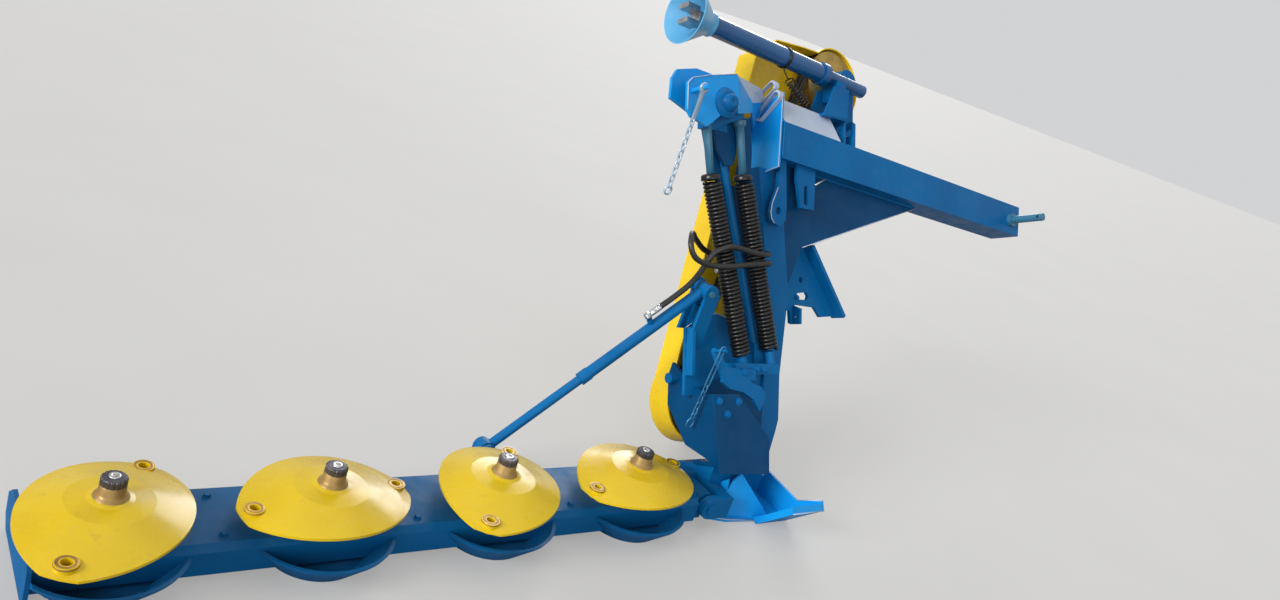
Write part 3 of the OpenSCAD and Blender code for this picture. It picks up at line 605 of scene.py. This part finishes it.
# fasteners
def fasteners():
    """Hexagon heads with washers on the upright frame, the bar and the guard."""
    front = (0, -1, 0)
    skin = Skin()
    for foot in ((-156, -59.5, 148), (-125, -59.5, 112), (-82, -59.5, 146), (-46, -45.5, 227),
                 (12, -34.5, 238), (42, -34.5, 236)):
        hex_head(skin, in_frame, foot, front, 17)
    for x, z in ((461, 533), (502, 481), (336, 467)):
        hex_head(skin, in_frame, (x - 20, 85.5, z - 6), front, 15)
    hex_head(skin, in_frame, (335, 98.2, 519), (0, 1, 0), 16)
    for z in (122, 97, 76):
        hex_head(skin, from_floor, (551.8, 70, z), (1, 0, 0), 13)
    skin.piece("frame_bolts", BLUE, "frame_paint", "frame", smooth=False)
    skin = Skin()
    skin.add(in_frame(tube(((300, 4, 806), (352, 4, 833)), 3.2, 10)), capped=True)
    skin.piece("lug_pin", STEEL, "bare_steel", "frame")
    skin = Skin()
    for k in range(ROTOR_COUNT):
        for degrees in (222, 246, 270, 294, 318):
            a = math.radians(degrees)
            foot = (-k * ROTOR_PITCH + 122 * math.cos(a), 118 * math.sin(a), 27)
            hex_head(skin, from_floor, foot, (0, 0, 1), 12)
        for x, y in ((-58, 62), (58, 62), (-58, -34), (58, -34)):
            hex_head(skin, from_floor, (-k * ROTOR_PITCH + x, y, BAR_TOP - 0.3), (0, 0, 1), 15)
    for x in np.arange(-3, 1) * ROTOR_PITCH + ROTOR_PITCH / 2:
        for y in (-24, 104):
            hex_head(skin, from_floor, (x, y, BAR_TOP - 0.3), (0, 0, 1), 15)
    skin.piece("bar_bolts", BAR_BLUE, "frame_paint", "bar", smooth=False)


def head_details():
    """The head pin's shouldered end with its centre mark, a washer and a split pin."""
    skin = Skin()
    end = [(27.5, -14), (24, -4), (20.5, 0), (19.5, 1), (19.5, 4), (17, 6.5), (5, 6.5), (3, 3.5),
           (0.02, 3.5)]
    skin.add(in_frame(turned(end, (-150, -83.5, 968), (0, -1, 0), 40)))
    cone = [(27.3, 0), (44, 0), (42, 3), (28, 13), (27.3, 13)]
    skin.add(in_frame(turned(cone, (-150, -60, 968), (0, -1, 0), 40)), looped=True)
    for k in (-1, 1):
        skin.add(in_frame(tube(((-150, -77 + k, 945), (-150 + k, -77, 991)), 1.8, 8)), capped=True)
    skin.piece("head_pin_end", BLUE, "frame_paint", "frame")


def spring_rods():
    """The tapered rods from the head down to the balance springs, each with its black cup."""
    shank = [(0.02, -2), (19, -1), (20, 1), (20, 12), (18.5, 14), (13.4, 16), (12.4, 60), (10.6, 160),
             (0.02, 160)]
    cup = [(0.02, 152), (14, 152.5), (24, 155), (27, 158), (27.6, 168), (27, 171), (0.02, 172)]
    rods, cups = Skin(), Skin()
    for top in SPRING_TOPS:
        head = (top[0] - 25, SPRING_Y, top[1] + 168)
        rods.add(in_frame(turned(shank, head, (23, 0, -180), 36)))
        cups.add(in_frame(turned(cup, head, (23, 0, -180), 40)))
    rods.piece("spring_rods", PALE, "bare_steel", "frame", replaces=("tension_rods",))
    cups.piece("spring_cups", SPRING_BLACK, "spring_steel", "frame")


def plate(skin, place, outline, normal_at, thick, edge=0.8):
    """A flat plate with broken edges: its outline, drawn in toward its middle by edge at both
    faces; normal_at puts a height into the outline's points."""
    outline = np.asarray(outline, float)
    middle = outline.mean(0)
    away = unit(outline - middle)
    rows = [normal_at(outline - away * inset, height) for inset, height in
            ((edge, 0), (0, edge), (0, thick - edge), (edge, thick))]
    skin.add(place(np.array(rows)), capped=True)


def holed_plate(skin, place, outline, hole, radius, normal_at, thick):
    """A plate with a round hole: at each angle about the hole its outer edge is where the ray
    meets the outline, and its faces run from there to the hole's circle."""
    corners = np.asarray(outline, float) - hole
    sides = np.roll(corners, -1, 0) - corners
    angle = np.linspace(0, 2 * np.pi, 96, endpoint=False)
    ray = np.stack([np.cos(angle), np.sin(angle)], -1)[:, None]
    slope = ray[..., 0] * sides[:, 1] - ray[..., 1] * sides[:, 0]
    with np.errstate(divide="ignore", invalid="ignore"):
        reach = (corners[:, 0] * sides[:, 1] - corners[:, 1] * sides[:, 0]) / slope
        share = (corners[:, 0] * ray[..., 1] - corners[:, 1] * ray[..., 0]) / slope
    met = (reach > 0) & (share >= 0) & (share <= 1)
    outer = ray[:, 0] * np.where(met, reach, np.inf).min(1)[:, None] + hole
    inner = ray[:, 0] * radius + hole
    rows = [normal_at(outer, 0), normal_at(outer, thick), normal_at(inner, thick), normal_at(inner, 0)]
    skin.add(place(np.array(rows)), looped=True)


def at_x(start):
    """Outline points (y, z) at start + height along x."""
    return lambda points, height: np.insert(points, 0, start + height, axis=1)


def at_y(start):
    """Outline points (x, z) at start + height along y."""
    return lambda points, height: np.insert(points, 1, start + height, axis=1)


def end_plate():
    """The large slanted plate on the hitch beam's inner end."""
    skin = Skin()
    outline = [(-12, -141), (136, -166), (134, 20), (110, 46), (-9, 89)]
    plate(skin, on_beam, outline, at_x(-11), 9, 1.5)
    # painted light: the plate takes the lighter copy of the blue, as lit from the left
    skin.piece("end_plate", LIT_SIDE_BLUE, "frame_paint", "frame", smooth=False, replaces=("beam_end_plate",))


def head_bend():
    """The bent plate from the head to the end plate: two flat parts and its lit top."""
    thick = 5
    front = np.array([(-106, -56, 1056), (16, 0, 1010), (13, 0, 980), (-94, -50, 950)], float)
    back = np.array([(16, 0, 1010), (126, 62, 1044), (126, 100, 960), (13, 0, 980)], float)
    skin = Skin()
    for corners in (front, back):
        outward = unit(np.cross(corners[1] - corners[0], corners[2] - corners[0]))
        if outward[1] > 0:
            corners, outward = corners[::-1], -outward
        skin.add(in_frame(np.stack([corners, corners - thick * outward])), capped=True)
    # painted light: both parts take the lighter copy of the blue, as lit from the left
    skin.piece("head_bend", LIT_SIDE_BLUE, "frame_paint", "frame", smooth=False)
    top = np.array([(16, 0, 1010), (126, 62, 1044), (78, 22, 1066), (-106, -56, 1056)], float)
    skin = Skin().add(in_frame(np.stack([top, top + (0, 4, -3)])), capped=True)
    skin.piece("head_bend_top", LIT, "frame_paint", "frame", smooth=False)


def strut_cheeks_and_shade_sheets():
    """The centre strut's two cheeks, and dark sheets behind the spring rods and springs that stand for
    the shade there: painted shade.
    """
    skin = Skin()
    cheek = [(-146, 925), (-118, 948), (-52, 952), (-50, 850), (-62, 815), (-96, 808), (-126, 850)]
    for y in (-2, 40):
        plate(skin, in_frame, cheek, at_y(y), 9)
    # painted shade: dark sheets put where the space behind the rods and springs lies in shadow
    left = [(-126, 945), (-63, 956), (-44, 865), (-51, 800), (-53, 748), (-97, 742), (-132, 852)]
    right = [(-24, 963), (30, 972), (41, 879), (35, 759), (-15, 753), (-20, 805), (-5, 872)]
    low = [(-94, 755), (37, 772), (75, 586), (115, 382), (38, 378), (-24, 577)]
    for y, outline in ((22, left), (24, right), (26, low)):
        plate(skin, in_frame, outline, at_y(y), 6)
    # painted shade: cheeks and sheets take the darker copy of the blue
    skin.piece("strut_cheeks_and_shade_sheets", SHADED_BLUE, "frame_paint", "frame", smooth=False)


def beam_wedge():
    """The sloped wedge that lies on the beam behind its end plate; its pale lit paint is a painted
    reflection of the sky.
    """
    skin = Skin()
    plate(skin, on_beam, [(-13, 0.5), (40, 88), (52, 88), (52, 0.5)], at_x(4), 262, 1.5)
    skin.piece("beam_wedge", LIT, "frame_paint", "frame", smooth=False)


def strap_handles():
    """The two loops of flat strap at the end plate: two half circles joined by straight sides,
    with the strap's thickness set off along the line from the loop's middle."""
    bend, half_wide, half_thick = 15, 8, 4 / 60
    skin = Skin()
    for low, high, x in (((96, 60), (22, 106), -24), ((68, 26), (4, 74), -20)):
        low, high = np.array(low, float), np.array(high, float)
        ahead = unit(high - low)
        side = np.array([-ahead[1], ahead[0]])
        turn = np.radians(np.linspace(-90, 90, 9))[:, None]
        cap = np.cos(turn) * ahead + np.sin(turn) * side
        loop = np.concatenate([high + bend * cap, low - bend * cap])
        off = half_thick * (loop - (low + high) / 2)
        corners = ((loop + off, -half_wide), (loop + off, half_wide), (loop - off, half_wide),
                   (loop - off, -half_wide))
        strap = [np.insert(line, 0, x + height, axis=1) for line, height in corners]
        skin.add(on_beam(np.array(strap)), looped=True)
    # painted highlight: the straps take the lit copy of the blue paint
    skin.piece("strap_handles", LIT, "frame_paint", "frame", smooth=False, replaces=("handles",))


def check_lug():
    """The check chain's lug: a plate that hangs from the beam and ends in a curved tongue."""
    skin = Skin()
    tongue = [(144, 864), (137, 779), (112, 728), (106, 700), (110, 682), (122, 669), (142, 663),
              (160, 668), (172, 686), (176, 730), (170, 864)]
    holed_plate(skin, in_frame, tongue, (140, 708), 11, at_y(6), 12)
    skin.piece("check_lug", BLUE, "frame_paint", "frame", smooth=False, replaces=("lug_hole",))


def painted_edge_highlights():
    """Thin bright lines along the plates' outer edges in the lit paint: painted highlights."""
    skin = Skin()
    for place, route in (
            (on_beam, ((-11, -10, 87), (-11, -12.5, -140), (-11, 134, -165.5))),
            (in_frame, ((287, 39, 614), (874, 39, 804))),
            (in_frame, ((137, 5.6, 779), (112, 5.6, 728), (106, 5.6, 700), (110, 5.6, 682),
                        (122, 5.6, 669))),
            (in_frame, ((-295, -60.4, 926), (-295, -60.4, 997), (-278, -60.4, 1014.5),
                        (-208, -60.4, 1035.5))),
            (in_frame, ((-110, -60.4, 1057.5), (-208, -60.4, 1035.8))),
            (in_frame, ((-184, 49.6, 348), (-112, 49.6, 391), (-60, 49.6, 392), (20, 49.6, 366))),
            (from_floor, ((280, -40, 8.4), (330, -60, 8.4), (430, -79, 8.4))),
            (from_floor, ((551.6, -92, 77), (551.6, -170, 128.4))),
            (from_floor, ((430, -186, 104.6), (560, -186, 104.6)))):
        skin.add(place(tube(route, 1.6, 6)), capped=True)
    skin.piece("painted_edge_highlights", LIT, "frame_paint", "frame")


def welds():
    """Painted weld beads in the corners where plates meet the beam, the end plate and the bar."""
    skin = Skin()
    half, low = -14.5, -BEAM_SIZE
    for route in (((1.5, half, -110), (1.5, half, -2)), ((1.5, half, 0.5), (1.5, 97, 0.5)),
                  ((1.5, 98.5, -2), (1.5, 98.5, -110))):
        skin.add(on_beam(bead(route)), capped=True)
    for x in (322, 332, 372, 382):
        skin.add(on_beam(bead(((x, 24, 1), (x, 78, 1)), 2.6)), capped=True)
    for x0, x1 in ((86, 166), (16, 38)):
        skin.add(on_beam(bead(((x0, 5, low - 1), (x1, 5, low - 1)), 2.8)), capped=True)
    skin.add(on_beam(bead(((150, 40, low - 1), (735, 40, low - 1)), 3.2)), capped=True)
    for route in (((-143, -51, -20), (-143, -51, 140)), ((-130, 49, 176), (50, 49, 203))):
        skin.add(in_frame(bead(route, 2.6)), capped=True)
    skin.piece("frame_welds", BLUE, "frame_paint", "frame")


# the camera, the floor and the lights
CAMERA_PLACE = np.array([-1680.0, -1637.0, 1333.0])
CAMERA_TURN = math.radians(47.8)
CAMERA_DOWN = math.radians(17.8)
CAMERA_ROLL = math.radians(19.8)
FOCAL_PIXELS = 1012
IMAGE_WIDTH = 1280


def camera():
    """The photograph's camera: its place, heading, fall and roll."""
    ahead = np.array([math.cos(CAMERA_DOWN) * math.cos(CAMERA_TURN),
                      math.cos(CAMERA_DOWN) * math.sin(CAMERA_TURN), -math.sin(CAMERA_DOWN)])
    right = unit(np.cross(ahead, (0, 0, 1)))
    up = np.cross(right, ahead)
    c, s = math.cos(CAMERA_ROLL), math.sin(CAMERA_ROLL)
    right, up = right * c + up * s, up * c - right * s
    made = bpy.data.objects.new("camera", bpy.data.cameras.new("camera"))
    made.data.sensor_width = 36
    made.data.lens = 36 * FOCAL_PIXELS / IMAGE_WIDTH
    turn = np.eye(4)
    turn[:3, 0], turn[:3, 1], turn[:3, 2], turn[:3, 3] = right, up, -ahead, from_floor(CAMERA_PLACE)
    made.matrix_world = Matrix(turn.tolist())
    bpy.context.scene.collection.objects.link(made)
    bpy.context.scene.camera = made


def soft_light(name, place, strength, spread=0.5):
    """Even light from the direction of place; its shadows are soft by spread, in radians."""
    made = bpy.data.objects.new(name, bpy.data.lights.new(name, "SUN"))
    made.data.energy, made.data.angle = strength, spread
    back = unit(place)
    u, v = across(back)
    turn = np.eye(4)
    turn[:3, 0], turn[:3, 1], turn[:3, 2], turn[:3, 3] = u, v, back, place
    made.matrix_world = Matrix(turn.tolist())
    bpy.context.scene.collection.objects.link(made)


def pale_floor():
    """A large plain floor, a grid of one face, with a faint mottle."""
    skin = Skin()
    size = 40.0
    corner = np.array([[(-size, -size, 0), (size, -size, 0)], [(-size, size, 0), (size, size, 0)]])
    made = Nodes("floor_pale", 0.8)
    cloud = made.between(made.noise(1.5, 3), 0.3, 0.7)
    material = made.finish(made.mix(cloud, (0.3, 0.297, 0.29), (0.285, 0.282, 0.275)))
    path = made.tree.nodes.new("ShaderNodeLightPath")
    glow = made.between(path.outputs["Is Camera Ray"], 0, 1, 0, 0.31)
    made.link(glow, made.shader.inputs["Emission Strength"])
    made.shader.inputs["Emission Color"].default_value = (1, 0.99, 0.97, 1)
    skin.add(corner, round_too=False)
    floor = skin.piece("floor", material, "frame_paint", None, closed=False)
    del floor["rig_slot"]


def surroundings():
    """A pale even world for the camera and for reflections, weaker for plain light."""
    world = bpy.data.worlds.new("studio")
    world.use_nodes = True
    bpy.context.scene.world = world
    tree = world.node_tree
    back = tree.nodes["Background"]
    path = tree.nodes.new("ShaderNodeLightPath")
    seen = tree.nodes.new("ShaderNodeMapRange")
    seen.inputs["To Min"].default_value = 0.38
    seen.inputs["To Max"].default_value = 0.68
    seen_by = path.outputs["Is Camera Ray"]
    for kind in ("Is Glossy Ray", "Is Transmission Ray"):
        both = tree.nodes.new("ShaderNodeMath")
        both.operation = "ADD"
        both.use_clamp = True
        tree.links.new(path.outputs[kind], both.inputs[1])
        tree.links.new(seen_by, both.inputs[0])
        seen_by = both.outputs[0]
    tree.links.new(seen_by, seen.inputs["Value"])
    tree.links.new(seen.outputs["Result"], back.inputs["Strength"])
    back.inputs["Color"].default_value = (0.95, 0.955, 0.97, 1)


camera()
finish_cad_nodes()
balance_springs()
rest_spring()
hose()
hose_fitting()
chains()
for number in range(ROTOR_COUNT):
    rotor_tops(number)
fasteners()
head_details()
spring_rods()
end_plate()
head_bend()
strut_cheeks_and_shade_sheets()
beam_wedge()
strap_handles()
check_lug()
painted_edge_highlights()
welds()
pale_floor()
surroundings()
soft_light("key_left", (-4.7, -0.5, 1.7), 3.0)
soft_light("top", (0.2, 0.4, 3.8), 0.4, 1.0)
soft_light("back_right", (3.1, 3.5, 2.1), 1.2)
soft_light("low_front", (-1.6, -4.0, 0.9), 1.1, 1.0)

bpy.context.scene.view_settings.view_transform = "Standard"
bpy.context.view_layer.update()
